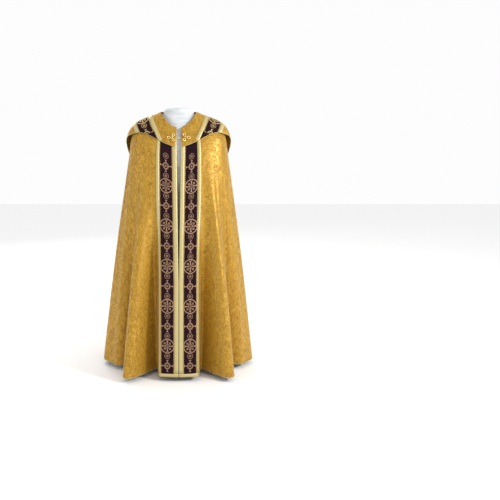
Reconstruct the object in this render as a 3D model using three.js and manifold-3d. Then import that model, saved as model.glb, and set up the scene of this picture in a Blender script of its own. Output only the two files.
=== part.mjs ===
// Cope vestment on a plain, limbless dress form.
// Millimetres, +Z up, the garment's front faces -Y, +X is to the right as the
// front is seen. The origin is on the floor, at the centre of the form's base.
import * as THREE from 'three';
import { mergeVertices } from 'three/addons/utils/BufferGeometryUtils.js';
import Module from 'manifold-3d';
const wasm = await Module();
wasm.setup();

// ---------------------------------------------------------------- sizes
const CLOTH = 1.6;          // mantle wall
const HOOD_WALL = 1.8;      // hood wall
const SEAM = 0.3;           // gap between a piece and what it lies on or beside
const BAND_WALL = 1.0;      // velvet bands and galloons
const GALLOON_IN = 21;      // inner galloon, along the front edge
const BAND = 79;            // velvet band
const GALLOON_OUT = 17;     // outer galloon
const HEM_STRIP = 17;       // galloon across the foot of each orphrey
const HOOD_GALLOON = 20.5;  // galloons on the hood
const HOOD_LIFT = 5.0;      // the hood's inner face above the mantle's inner face
const BAND_LIFT = 3.6;      // bands above the hood's outer face, to clear its facets
const GAP_TOP = 12;         // half the gap between the front edges at the yoke
const GAP_FOOT = 1.2;       // half the gap where the edges come together
const GAP_CLOSE_Z = 545;    // height at which they come together

// Sections of the mantle from neckline to hem, before folds. half: half width;
// front, back: depth each way; zf, zs, zb: height at front, side and back;
// sq: 2 is an ellipse and more is squarer; drop: 0 to 1, how far the folds opened
const SECTIONS = [
  { half: 99,  front: 88,  back: 74,  zf: 1372, zs: 1457, zb: 1462, sq: 2.0, drop: 0 },
  { half: 151, front: 112, back: 108, zf: 1326, zs: 1435, zb: 1434, sq: 2.0, drop: 0 },
  { half: 204, front: 134, back: 136, zf: 1276, zs: 1409, zb: 1392, sq: 2.1, drop: 0 },
  { half: 246, front: 150, back: 156, zf: 1222, zs: 1370, zb: 1338, sq: 2.2, drop: 0 },
  { half: 266, front: 163, back: 170, zf: 1160, zs: 1310, zb: 1270, sq: 2.25, drop: 0.04 },
  { half: 278, front: 178, back: 183, zf: 1080, zs: 1215, zb: 1180, sq: 2.25, drop: 0.12 },
  { half: 300, front: 204, back: 206, zf: 940,  zs: 1040, zb: 1020, sq: 2.2, drop: 0.27 },
  { half: 326, front: 238, back: 238, zf: 760,  zs: 825,  zb: 815,  sq: 2.15, drop: 0.45 },
  { half: 353, front: 276, back: 276, zf: 535,  zs: 575,  zb: 570,  sq: 2.1, drop: 0.66 },
  { half: 380, front: 313, back: 318, zf: 285,  zs: 300,  zb: 298,  sq: 2.05, drop: 0.84 },
  { half: 405, front: 343, back: 352, zf: 30,   zs: 30,   zb: 30,   sq: 2.0, drop: 1.0 },
];

// Folds. at: degrees around from the front on the left side, over 180 on the
// right; half: half width in degrees; out: depth at the hem, + ridge, - valley;
// from: the drop at which the fold starts
const FOLDS = [
  { at: 24, half: 10, out: -120, from: 0.22 },
  { at: 36, half: 12, out: 104, from: 0.05 },
  { at: 53, half: 12, out: -104, from: 0.2 },
  { at: 86, half: 17, out: 40, from: 0.05 },
  { at: 106, half: 12, out: -104, from: 0.16 },
  { at: 121, half: 11, out: 52, from: 0.24 },
  { at: 135, half: 11, out: -96, from: 0.18 },
  { at: 149, half: 11, out: 58, from: 0.3 },
  { at: 162, half: 10, out: -92, from: 0.22 },
  { at: 177, half: 12, out: 50, from: 0.48 },
  { at: 192, half: 11, out: -98, from: 0.2 },
  { at: 206, half: 11, out: 48, from: 0.28 },
  { at: 219, half: 10, out: -88, from: 0.24 },
  { at: 233, half: 12, out: 56, from: 0.22 },
  { at: 251, half: 13, out: -106, from: 0.15 },
  { at: 273, half: 17, out: 34, from: 0.05 },
  { at: 304, half: 13, out: -98, from: 0.18 },
  { at: 323, half: 12, out: 90, from: 0.05 },
  { at: 336, half: 10, out: -112, from: 0.24 },
];

// The hood's reach from the neckline along the cloth, and how far its edge
// stands off the mantle. at: degrees from the front, the same on both sides
const HOOD = [
  { at: 0,   reach: 113, lift: 3.5 },
  { at: 20,  reach: 110, lift: 3.5 },
  { at: 40,  reach: 121, lift: 3.5 },
  { at: 58,  reach: 150, lift: 4 },
  { at: 74,  reach: 196, lift: 12 },
  { at: 88,  reach: 232, lift: 26 },
  { at: 102, reach: 285, lift: 26 },
  { at: 118, reach: 362, lift: 20 },
  { at: 134, reach: 432, lift: 16 },
  { at: 150, reach: 476, lift: 18 },
  { at: 166, reach: 512, lift: 28 },
  { at: 180, reach: 556, lift: 38 },
];

// The form inside, neck cap to closed foot, with the columns of SECTIONS
const FORM = [
  { half: 40,  front: 36,  back: 32,  zf: 1484, zs: 1485, zb: 1484 },
  { half: 66,  front: 59,  back: 50,  zf: 1480, zs: 1481, zb: 1480 },
  { half: 80,  front: 71,  back: 60,  zf: 1468, zs: 1471, zb: 1470 },
  { half: 86,  front: 76,  back: 64,  zf: 1430, zs: 1459, zb: 1459 },
  { half: 90,  front: 79,  back: 66,  zf: 1370, zs: 1450, zb: 1455 },
  { half: 146, front: 103, back: 100, zf: 1322, zs: 1427, zb: 1427 },
  { half: 198, front: 124, back: 126, zf: 1271, zs: 1400, zb: 1385 },
  { half: 228, front: 138, back: 140, zf: 1215, zs: 1366, zb: 1330 },
  { half: 236, front: 146, back: 143, zf: 1150, zs: 1318, zb: 1262 },
  { half: 222, front: 150, back: 136, zf: 1080, zs: 1200, zb: 1180 },
  { half: 182, front: 132, back: 116, zf: 960,  zs: 1010, zb: 1010 },
  { half: 176, front: 128, back: 118, zf: 880,  zs: 900,  zb: 900 },
  { half: 200, front: 140, back: 142, zf: 740,  zs: 740,  zb: 740 },
  { half: 196, front: 138, back: 138, zf: 600,  zs: 600,  zb: 600 },
  { half: 184, front: 128, back: 128, zf: 560,  zs: 560,  zb: 560 },
];
const POLE_RADIUS = 16;
const BASE_RADIUS = 190;
const BASE_HEIGHT = 14;

// Straight bands over the hood: each is the slab of the hood between two
// parallel planes. The side bands' slab, in x, y, z
const V_FRONT = [-172, -122, 1335];   // where its middle leaves the yoke
const V_TOP = [-196, 8, 1412];        // on the shoulder
const V_BACK = [-34, 190, 1148];      // where it meets the centre band

// ---------------------------------------------------------------- helpers
const lerp = (a, b, t) => a + (b - a) * t;
const clamp = (t, a = 0, b = 1) => Math.min(b, Math.max(a, t));
const smooth = (t) => { t = clamp(t); return t * t * (3 - 2 * t); };

// value of one column at a fractional row, on a smooth curve through the rows
function column(table, key, v) {
  const n = table.length - 1, i = clamp(Math.floor(v), 0, n - 1), t = v - i;
  const p1 = table[i][key], p2 = table[i + 1][key];
  const p0 = i > 0 ? table[i - 1][key] : 2 * p1 - p2;
  const p3 = i < n - 1 ? table[i + 2][key] : 2 * p2 - p1;
  const m1 = (p2 - p0) / 2, m2 = (p3 - p1) / 2, t2 = t * t, t3 = t2 * t;
  return (2 * t3 - 3 * t2 + 1) * p1 + (t3 - 2 * t2 + t) * m1 + (3 * t2 - 2 * t3) * p2 + (t3 - t2) * m2;
}
// the same for a table whose rows are placed by their own column "at"
function byAngle(table, key, deg) {
  const a = Math.min(deg, 360 - deg);
  let i = 0;
  while (i < table.length - 2 && table[i + 1].at < a) i++;
  return column(table, key, i + clamp((a - table[i].at) / (table[i + 1].at - table[i].at)));
}

// a point of the smooth mantle: v is the section, th the angle from the front,
// going round by -x, the back and +x
function ring(table, v, th) {
  const c = Math.cos(th), s = Math.sin(th);
  const q = table === SECTIONS ? 2 / column(table, 'sq', v) : 1;
  const x = -column(table, 'half', v) * Math.sign(s) * Math.abs(s) ** q;
  const deep = c > 0 ? column(table, 'front', v) : column(table, 'back', v);
  const y = -deep * Math.sign(c) * Math.abs(c) ** q;
  const ze = c > 0 ? column(table, 'zf', v) : column(table, 'zb', v);
  const z = lerp(ze, column(table, 'zs', v), s * s);
  return new THREE.Vector3(x, y, z);
}

function foldOut(v, th) {
  const drop = column(SECTIONS, 'drop', v), deg = THREE.MathUtils.radToDeg(th);
  let d = 0;
  for (const f of FOLDS) {
    const t = (deg - f.at) / f.half;
    if (Math.abs(t) < 1) d += f.out * Math.cos(t * Math.PI / 2) ** 2 * clamp((drop - f.from) / (1 - f.from)) ** 1.25;
  }
  return d;
}

// the draped mantle: the smooth ring pushed in and out along its plan normal
function draped(v, th) {
  const p = ring(SECTIONS, v, th), d = foldOut(v, th);
  if (d === 0) return p;
  const a = ring(SECTIONS, v, th - 0.01), b = ring(SECTIONS, v, th + 0.01);
  const n = new THREE.Vector3(a.y - b.y, b.x - a.x, 0).normalize();
  return p.addScaledVector(n, d);
}

const gapAt = (z) => lerp(GAP_FOOT, GAP_TOP, clamp((z - GAP_CLOSE_Z) / (1280 - GAP_CLOSE_Z)));

// angles of the columns of one row: the orphrey's columns are true distances
// along the cloth from each front edge, the others share the rest evenly
function rowAngles(v, edge, middle) {
  const start = (() => {
    let th = 0.0001;
    while (-ring(SECTIONS, v, th).x < gapAt(ring(SECTIONS, v, th).z)) th += 0.0005;
    return th;
  })();
  const march = (sign) => {
    const out = [], steps = 1600, span = Math.PI * 0.62;
    let last = draped(v, sign > 0 ? start : 2 * Math.PI - start), run = 0, k = 0;
    for (let i = 0; i <= steps && k < edge.length; i++) {
      const off = start + span * i / steps, th = sign > 0 ? off : 2 * Math.PI - off;
      const p = draped(v, th), step = p.distanceTo(last);
      while (k < edge.length && run + step >= edge[k] - 1e-9) {
        const f = step > 0 ? (edge[k] - run) / step : 0;
        out.push(th - sign * (1 - clamp(f)) * span / steps * (i > 0 ? 1 : 0));
        k++;
      }
      run += step; last = p;
    }
    return out;
  };
  const left = march(1), right = march(-1).reverse();
  const a = left[left.length - 1], b = right[0], mid = [];
  for (let i = 1; i < middle; i++) mid.push(lerp(a, b, i / middle));
  return [...left, ...mid, ...right];
}

// ---------------------------------------------------------------- walls
// outward vertex normals of a grid of points
function gridNormals(P) {
  const R = P.length, C = P[0].length;
  return P.map((row, i) => row.map((p, j) => {
    const a = P[Math.max(i - 1, 0)][j], b = P[Math.min(i + 1, R - 1)][j];
    const c = P[i][Math.max(j - 1, 0)], d = P[i][Math.min(j + 1, C - 1)];
    return new THREE.Vector3().subVectors(b, a).cross(new THREE.Vector3().subVectors(d, c)).normalize();
  }));
}
const moved = (P, N, h) => P.map((row, i) => row.map((p, j) => p.clone().addScaledVector(N[i][j], typeof h === 'function' ? h(i, j) : h)));
const patch = (P, rows, cols) => rows.map((i) => cols.map((j) => P[i][j].clone()));

// one closed body between two grids of the same size
function wall(inner, outer) {
  const R = inner.length, C = inner[0].length, pos = [], index = [];
  for (const g of [outer, inner]) for (const row of g) for (const p of row) pos.push(p.x, p.y, p.z);
  const o = (i, j) => i * C + j, n = (i, j) => R * C + i * C + j;
  for (let i = 0; i < R - 1; i++) for (let j = 0; j < C - 1; j++) {
    index.push(o(i, j), o(i + 1, j), o(i + 1, j + 1), o(i, j), o(i + 1, j + 1), o(i, j + 1));
    index.push(n(i, j), n(i + 1, j + 1), n(i + 1, j), n(i, j), n(i, j + 1), n(i + 1, j + 1));
  }
  for (let j = 0; j < C - 1; j++) {
    index.push(o(0, j), o(0, j + 1), n(0, j + 1), o(0, j), n(0, j + 1), n(0, j));
    index.push(o(R - 1, j), n(R - 1, j), n(R - 1, j + 1), o(R - 1, j), n(R - 1, j + 1), o(R - 1, j + 1));
  }
  for (let i = 0; i < R - 1; i++) {
    index.push(o(i, 0), n(i, 0), n(i + 1, 0), o(i, 0), n(i + 1, 0), o(i + 1, 0));
    index.push(o(i, C - 1), o(i + 1, C - 1), n(i + 1, C - 1), o(i, C - 1), n(i + 1, C - 1), n(i, C - 1));
  }
  return closed(pos, index);
}

// a geometry whose faces are turned out, whichever way the grid ran
function closed(pos, index) {
  let vol = 0;
  const at = (k) => new THREE.Vector3(pos[3 * k], pos[3 * k + 1], pos[3 * k + 2]);
  for (let k = 0; k < index.length; k += 3) vol += at(index[k]).dot(at(index[k + 1]).cross(at(index[k + 2])));
  if (vol < 0) for (let k = 0; k < index.length; k += 3) [index[k + 1], index[k + 2]] = [index[k + 2], index[k + 1]];
  const g = new THREE.BufferGeometry();
  g.setAttribute('position', new THREE.Float32BufferAttribute(pos, 3));
  g.setIndex(index);
  return g;
}

// a closed body through rings, with a flat or pointed cap at each end
function loft(rings) {
  const R = rings.length, C = rings[0].length, pos = [], index = [];
  for (const r of rings) for (const p of r) pos.push(p.x, p.y, p.z);
  for (let i = 0; i < R - 1; i++) for (let j = 0; j < C; j++) {
    const k = (j + 1) % C;
    index.push(i * C + j, (i + 1) * C + j, (i + 1) * C + k, i * C + j, (i + 1) * C + k, i * C + k);
  }
  for (const [r, flip] of [[0, false], [R - 1, true]]) {
    const m = pos.length / 3, c = rings[r].reduce((s, p) => s.add(p), new THREE.Vector3()).divideScalar(C);
    pos.push(c.x, c.y, c.z);
    for (let j = 0; j < C; j++) {
      const k = (j + 1) % C;
      index.push(m, r * C + (flip ? k : j), r * C + (flip ? j : k));
    }
  }
  return closed(pos, index);
}

// ---------------------------------------------------------------- materials
const finish = (color, roughness, metalness) => new THREE.MeshStandardMaterial({ color, roughness, metalness, side: THREE.DoubleSide });
const DAMASK = finish(0xc8971f, 0.55, 0.15);
const VELVET = finish(0x2c0b14, 0.9, 0.0);
const GALLOON = finish(0xc9b673, 0.45, 0.35);
const BRASS = finish(0xe0b84a, 0.25, 1.0);
const COVER = finish(0xcfd1d2, 0.9, 0.0);
const METAL = finish(0x9a9c9f, 0.35, 0.8);

const cope = new THREE.Group();
function add(name, geometry, material) {
  const mesh = new THREE.Mesh(geometry, material);
  mesh.name = name;
  cope.add(mesh);
  return mesh;
}

// ---------------------------------------------------------------- mantle
const EDGE = [0, GALLOON_IN, GALLOON_IN + SEAM, GALLOON_IN + BAND / 2, GALLOON_IN + BAND, GALLOON_IN + BAND + SEAM, GALLOON_IN + BAND + SEAM + GALLOON_OUT];
const MIDDLE = 78;
const hemRow = SECTIONS.length - 1, stripRow = hemRow - HEM_STRIP / 255;
const ROWS = [0, 1, 2, 3, 4, 5, 6, 7, 8, 9, stripRow - SEAM / 255, stripRow, hemRow];
const P = ROWS.map((v) => rowAngles(v, EDGE, MIDDLE).map((th) => draped(v, th)));
const N = gridNormals(P);
if (N[4][0].y > 0) for (const row of N) for (const n of row) n.negate();
add('mantle', wall(P, moved(P, N, CLOTH)), DAMASK);

// orphreys: the mantle's own columns beside each front edge, moved out
const LAST = P[0].length - 1, low = CLOTH + SEAM, high = low + BAND_WALL;
const bandRows = [1, 2, 3, 4, 5, 6, 7, 8, 9, 10], footRows = [11, 12];
for (const [side, k] of [['left', (j) => j], ['right', (j) => LAST - j]]) {
  const lay = (name, rows, cols, mat) => {
    const own = cols.map(k).sort((a, b) => a - b), p = patch(P, rows, own), n = patch(N, rows, own);
    add(name, wall(moved(p, n, low), moved(p, n, high)), mat);
  };
  lay(`galloon_${side}_inner`, bandRows, [0, 1], GALLOON);
  lay(`orphrey_${side}`, bandRows, [2, 3, 4], VELVET);
  lay(`galloon_${side}_outer`, bandRows, [5, 6], GALLOON);
  lay(`galloon_${side}_foot`, footRows, [0, 1, 2, 3, 4, 5, 6], GALLOON);
}

// ---------------------------------------------------------------- hood
// a column of the smooth mantle from the neckline, walked by true length
function hoodPoint(th, share) {
  const deg = THREE.MathUtils.radToDeg(th), reach = byAngle(HOOD, 'reach', deg) * share;
  let run = 0, v = 0, last = ring(SECTIONS, 0, th), p = last;
  const step = 0.01;
  while (v < 8 && run < reach) {
    p = ring(SECTIONS, v + step, th);
    const d = p.distanceTo(last);
    if (run + d >= reach) { v += step * (reach - run) / d; run = reach; break; }
    run += d; v += step; last = p;
  }
  p = ring(SECTIONS, v, th);
  const a = ring(SECTIONS, v, th - 0.01), b = ring(SECTIONS, v, th + 0.01);
  const c = ring(SECTIONS, Math.max(v - 0.05, 0), th), d = ring(SECTIONS, v + 0.05, th);
  const n = b.sub(a).cross(d.sub(c)).normalize();
  if (n.x * p.x + n.y * p.y + n.z * 60 < 0) n.negate();
  const lift = HOOD_LIFT + (byAngle(HOOD, 'lift', deg) - HOOD_LIFT + 0.7) * smooth((share - 0.25) / 0.75);
  return { p: p.addScaledVector(n, Math.max(lift, HOOD_LIFT)), n };
}
const HOOD_COLS = 44, HOOD_ROWS = 9;
const hoodStart = 2 * Math.asin(GAP_TOP / 190);
const H = [], HN = [];
for (let i = 0; i <= HOOD_ROWS; i++) {
  H.push([]); HN.push([]);
  for (let j = 0; j <= HOOD_COLS; j++) {
    const share = i / HOOD_ROWS;
    const rowHalf = lerp(99, 140, share);
    const th0 = Math.asin((GAP_TOP - 1) / rowHalf);
    const th = lerp(th0, 2 * Math.PI - th0, j / HOOD_COLS);
    const q = hoodPoint(th, share);
    H[i].push(q.p); HN[i].push(q.n);
  }
}
const HO = moved(H, HN, HOOD_WALL);
add('hood', wall(H, HO), DAMASK);

// the hood's outer face as triangles, to lay the bands on
const faces = [];
for (let i = 0; i < HOOD_ROWS; i++) for (let j = 0; j < HOOD_COLS; j++) {
  faces.push([HO[i][j], HO[i + 1][j], HO[i + 1][j + 1]], [HO[i][j], HO[i + 1][j + 1], HO[i][j + 1]]);
}
const shot = new THREE.Ray(), spot = new THREE.Vector3();
function onHood(from, dir) {
  shot.origin.copy(from); shot.direction.copy(dir).normalize();
  let best = null, far = -1;
  for (const [a, b, c] of faces) {
    if (shot.intersectTriangle(a, b, c, false, spot)) {
      const d = spot.distanceTo(from);
      if (d > far) {
        far = d;
        best = { p: spot.clone(), n: new THREE.Vector3().subVectors(b, a).cross(new THREE.Vector3().subVectors(c, a)).normalize() };
      }
    }
  }
  if (best && best.n.dot(shot.direction) < 0) best.n.negate();
  return best;
}

// a straight band: heart is inside the body, across the band's plane normal,
// e1 and e2 span the plane; each of its lines runs between its own two ends
function band(name, heart, across, e1, e2, offsets, a0, a1, stations, keep, material) {
  const hit = (o, a) => {
    const from = heart.clone().addScaledVector(across, o);
    const q = onHood(from, e1.clone().multiplyScalar(Math.cos(a)).addScaledVector(e2, Math.sin(a)));
    return q && keep(q.p) ? q : null;
  };
  const grid = offsets.map((o) => {
    const mid = (a0 + a1) / 2;
    const end = (a) => {
      if (hit(o, a)) return a;
      let bad = a, good = null;
      for (let k = 1; k <= 60 && good === null; k++) { const t = lerp(a, mid, k / 60); if (hit(o, t)) good = t; else bad = t; }
      if (good === null) throw new Error(`${name}: a line misses the hood`);
      for (let k = 0; k < 24; k++) { const t = (good + bad) / 2; if (hit(o, t)) good = t; else bad = t; }
      return good;
    };
    const s = end(a0), e = end(a1), line = [];
    for (let k = 0; k <= stations; k++) line.push(hit(o, lerp(s, e, clamp(k / stations, 0.004, 0.996))).p);
    return line;
  });
  const n = gridNormals(grid), out = grid[1][Math.floor(stations / 2)].clone().sub(heart);
  if (n[1][Math.floor(stations / 2)].dot(out) < 0) for (const row of n) for (const v of row) v.negate();
  // where a facet of the hood still reaches the band, the hood's own outer face,
  // moved out by the seam gap, trims the band's underside
  const body = solid(wall(moved(grid, n, BAND_LIFT), moved(grid, n, BAND_LIFT + BAND_WALL)));
  const cut = body.subtract(hoodCutter), parts = cut.decompose();
  parts.sort((a, b) => b.volume() - a.volume());
  add(name, fromSolid(parts[0]), material);
}
function solid(geometry) {
  const g = mergeVertices(geometry, 1e-3);
  return new wasm.Manifold(new wasm.Mesh({ numProp: 3, vertProperties: new Float32Array(g.attributes.position.array), triVerts: new Uint32Array(g.index.array) }));
}
function fromSolid(m) {
  const mesh = m.getMesh(), g = new THREE.BufferGeometry();
  g.setAttribute('position', new THREE.BufferAttribute(mesh.vertProperties.slice(), 3));
  g.setIndex([...mesh.triVerts]);
  return g;
}
const hoodCutter = solid(wall(H, moved(H, HN, HOOD_WALL + 2 * SEAM)));
const V = (a) => new THREE.Vector3(...a);

// centre band: the slab |x| < half its width, from the neck down the back
{
  const heart = new THREE.Vector3(0, 0, 1180), ex = new THREE.Vector3(1, 0, 0);
  const e1 = new THREE.Vector3(0, 1, 0), e2 = new THREE.Vector3(0, 0, 1), all = () => true;
  const h = BAND / 2, g = h + SEAM, G = g + HOOD_GALLOON, top = 1.32, foot = -1.1;
  band('hood_band_centre', heart, ex, e1, e2, [-h, 0, h], top, foot, 20, all, VELVET);
  band('hood_galloon_centre_left', heart, ex, e1, e2, [-G, -g], top, foot, 20, all, GALLOON);
  band('hood_galloon_centre_right', heart, ex, e1, e2, [g, G], top, foot, 20, all, GALLOON);
}
// side bands, over each shoulder from the yoke to the centre band
for (const [side, m] of [['left', 1], ['right', -1]]) {
  const f = V(V_FRONT), t = V(V_TOP), b = V(V_BACK);
  for (const p of [f, t, b]) p.x *= m;
  const e1 = b.clone().sub(f).normalize();
  const across = e1.clone().cross(t.clone().sub(f)).normalize();
  if (across.x * m > 0) across.negate();
  const e2 = across.clone().cross(e1).normalize();
  if (e2.z < 0) e2.negate();
  const heart = f.clone().lerp(b, 0.42).addScaledVector(e2, -40);
  const h = BAND / 2, g = h + SEAM, G = g + HOOD_GALLOON, stop = h + 2 * SEAM + HOOD_GALLOON;
  const keep = (p) => p.x * -m > stop;
  band(`hood_band_${side}`, heart, across, e1, e2, [-h, -h / 2, 0, h / 2, h], Math.PI * 1.02, -0.75, 20, keep, VELVET);
  band(`hood_galloon_${side}_inner`, heart, across, e1, e2, [-G, -g], Math.PI * 1.02, -0.75, 20, keep, GALLOON);
  band(`hood_galloon_${side}_outer`, heart, across, e1, e2, [g, G], Math.PI * 1.02, -0.75, 20, keep, GALLOON);
}

// ---------------------------------------------------------------- clasp
// two trefoil knots of flat brass, each with three open loops, and the hook
// that joins them across the opening
const LOOP = 9.5, LOOP_HOLE = 5.6, CLASP_PLATE = 2.4;
const CLASP_X = 35, CLASP_Z = 1318;
function trefoil() {
  const s = new THREE.Shape(), arms = [90, 210, 330], R = 13.5, pts = [];
  for (let k = 0; k < 72; k++) {
    const a = k / 72 * 2 * Math.PI;
    let r = 8;
    for (const c of arms) {
      const d = a - THREE.MathUtils.degToRad(c), q = R * Math.cos(d), w = LOOP ** 2 - (R * Math.sin(d)) ** 2;
      if (w > 0 && q > 0) r = Math.max(r, q + Math.sqrt(w));
    }
    pts.push(new THREE.Vector2(r * Math.cos(a), r * Math.sin(a)));
  }
  s.setFromPoints(pts);
  for (const c of arms) {
    const a = THREE.MathUtils.degToRad(c), hole = new THREE.Path();
    hole.setFromPoints(Array.from({ length: 16 }, (_, k) => new THREE.Vector2(
      R * Math.cos(a) + LOOP_HOLE * Math.cos(k / 8 * Math.PI), R * Math.sin(a) + LOOP_HOLE * Math.sin(k / 8 * Math.PI))));
    s.holes.push(hole);
  }
  return new THREE.ExtrudeGeometry(s, { depth: CLASP_PLATE, bevelEnabled: false, steps: 1 });
}
for (const [side, m] of [['left', -1], ['right', 1]]) {
  const up = onHood(new THREE.Vector3(m * CLASP_X, 0, CLASP_Z), new THREE.Vector3(0, -1, 0));
  const g = trefoil();
  g.rotateZ(m > 0 ? -Math.PI / 2 : Math.PI / 2);
  const mesh = add(`clasp_${side}`, g, BRASS);
  mesh.position.copy(up.p).addScaledVector(up.n, 4.2);
  mesh.quaternion.setFromUnitVectors(new THREE.Vector3(0, 0, 1), up.n);
}
{
  const a = onHood(new THREE.Vector3(-16, 0, CLASP_Z), new THREE.Vector3(0, -1, 0)).p;
  const hook = add('clasp_hook', new THREE.BoxGeometry(22, 1.6, 5), BRASS);
  hook.position.set(0, a.y - 2.2, CLASP_Z);
}

// ---------------------------------------------------------------- tassel
const TASSEL_CORD = 52, CORD_RADIUS = 1.6, SKIRT = 70, SKIRT_RADIUS = 19, HEAD_RADIUS = 11;
const point = HO[HOOD_ROWS][HOOD_COLS / 2], inner = H[HOOD_ROWS][HOOD_COLS / 2];
const tip = new THREE.Vector3(0, (point.y + inner.y) / 2, Math.min(point.z, inner.z) - SEAM);
{
  const line = new THREE.LineCurve3(tip.clone().setZ(tip.z - TASSEL_CORD), tip);
  const round = new THREE.Shape();
  round.absarc(0, 0, CORD_RADIUS, 0, 2 * Math.PI);
  add('tassel_cord', new THREE.ExtrudeGeometry(round, { steps: 8, extrudePath: line, curveSegments: 4, bevelEnabled: false }), GALLOON);
  const top = tip.z - TASSEL_CORD - SEAM;
  const profile = [[0, 0], [4, 0], [HEAD_RADIUS - 2, -5], [HEAD_RADIUS, -13], [HEAD_RADIUS - 3, -21], [HEAD_RADIUS - 2.5, -25], [HEAD_RADIUS + 3, -34], [SKIRT_RADIUS, -SKIRT], [0, -SKIRT]];
  const t = add('tassel', new THREE.LatheGeometry(profile.map(([r, z]) => new THREE.Vector2(r, z)).reverse(), 16), GALLOON);
  t.rotation.x = Math.PI / 2;
  t.position.set(0, tip.y, top);
}

// ---------------------------------------------------------------- form
const FORM_COLS = 36;
add('form_torso', loft(FORM.map((_, i) => Array.from({ length: FORM_COLS }, (_, j) => ring(FORM, i, (j + 0.5) / FORM_COLS * 2 * Math.PI)))), COVER);
{
  const foot = FORM[FORM.length - 1].zf;
  const pole = add('form_pole', new THREE.CylinderGeometry(POLE_RADIUS, POLE_RADIUS, foot - BASE_HEIGHT - 2 * SEAM, 24), METAL);
  pole.rotation.x = Math.PI / 2;
  pole.position.z = (foot + BASE_HEIGHT) / 2;
  const R = BASE_RADIUS, h = BASE_HEIGHT;
  const base = add('form_base', new THREE.LatheGeometry([[0, 0], [R, 0], [R, h * 0.45], [R - 12, h], [0, h]].map(([r, z]) => new THREE.Vector2(r, z)), 48), METAL);
  base.rotation.x = Math.PI / 2;
}

export default cope;
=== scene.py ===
import bpy, math
import numpy as np
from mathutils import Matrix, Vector
from mathutils.bvhtree import BVHTree


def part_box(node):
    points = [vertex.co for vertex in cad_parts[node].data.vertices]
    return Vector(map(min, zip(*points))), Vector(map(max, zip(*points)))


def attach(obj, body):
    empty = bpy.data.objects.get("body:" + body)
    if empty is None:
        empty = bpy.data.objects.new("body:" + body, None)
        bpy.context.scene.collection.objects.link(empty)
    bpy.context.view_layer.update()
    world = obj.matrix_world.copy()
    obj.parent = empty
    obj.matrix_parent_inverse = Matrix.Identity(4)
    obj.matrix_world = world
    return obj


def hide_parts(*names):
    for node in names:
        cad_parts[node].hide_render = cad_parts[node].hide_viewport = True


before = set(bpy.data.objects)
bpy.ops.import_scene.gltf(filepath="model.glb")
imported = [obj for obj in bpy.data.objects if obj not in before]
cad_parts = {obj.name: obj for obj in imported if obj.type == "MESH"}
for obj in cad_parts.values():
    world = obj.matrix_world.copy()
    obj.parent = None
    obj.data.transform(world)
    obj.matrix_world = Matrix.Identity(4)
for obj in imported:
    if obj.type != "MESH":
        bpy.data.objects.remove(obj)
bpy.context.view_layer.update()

# ------------------------------------------------------------ camera
cam_data = bpy.data.cameras.new("camera")
cam = bpy.data.objects.new("camera", cam_data)
bpy.context.collection.objects.link(cam)
cam_data.lens = 47
cam_data.sensor_width = 36
cam_data.shift_x = 0.145
cam.location = (-0.0066, -3.744, 1.336)
cam.rotation_euler = (math.radians(80), 0, 0)
bpy.context.scene.camera = cam

# ------------------------------------------------------------ sizes, in mm
CLOTH, HOOD_WALL, BAND_WALL = 1.6, 1.8, 1.0
G_IN, BAND, G_OUT, FOOT = 21, 79, 17, 17
HOOD_G, HOOD_LIFT = 20.5, 5.0
GAP_TOP, GAP_FOOT, GAP_CLOSE_Z = 12, 1.2, 545
SECT = dict(
    half=[99, 151, 204, 246, 266, 278, 300, 326, 353, 380, 405],
    front=[88, 112, 134, 150, 163, 178, 204, 238, 276, 313, 343],
    back=[74, 108, 136, 156, 170, 183, 206, 238, 276, 318, 352],
    zf=[1372, 1326, 1276, 1222, 1160, 1080, 940, 760, 535, 285, 30],
    zs=[1457, 1435, 1409, 1370, 1310, 1215, 1040, 825, 575, 300, 30],
    zb=[1462, 1434, 1392, 1338, 1270, 1180, 1020, 815, 570, 298, 30],
    sq=[2.0, 2.0, 2.1, 2.2, 2.25, 2.25, 2.2, 2.15, 2.1, 2.05, 2.0],
    drop=[0, 0, 0, 0, 0.04, 0.12, 0.27, 0.45, 0.66, 0.84, 1.0],
)
# at, half width, out, from
FOLDS = [
    (24, 10, -120, 0.22),
    (36, 12, 104, 0.05),
    (53, 12, -104, 0.2),
    (86, 17, 40, 0.05),
    (106, 12, -104, 0.16),
    (121, 11, 52, 0.24),
    (135, 11, -96, 0.18),
    (149, 11, 58, 0.3),
    (162, 10, -92, 0.22),
    (177, 12, 50, 0.48),
    (192, 11, -98, 0.2),
    (206, 11, 48, 0.28),
    (219, 10, -88, 0.24),
    (233, 12, 56, 0.22),
    (251, 13, -106, 0.15),
    (273, 17, 34, 0.05),
    (304, 13, -98, 0.18),
    (323, 12, 90, 0.05),
    (336, 10, -112, 0.24),
]
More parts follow.
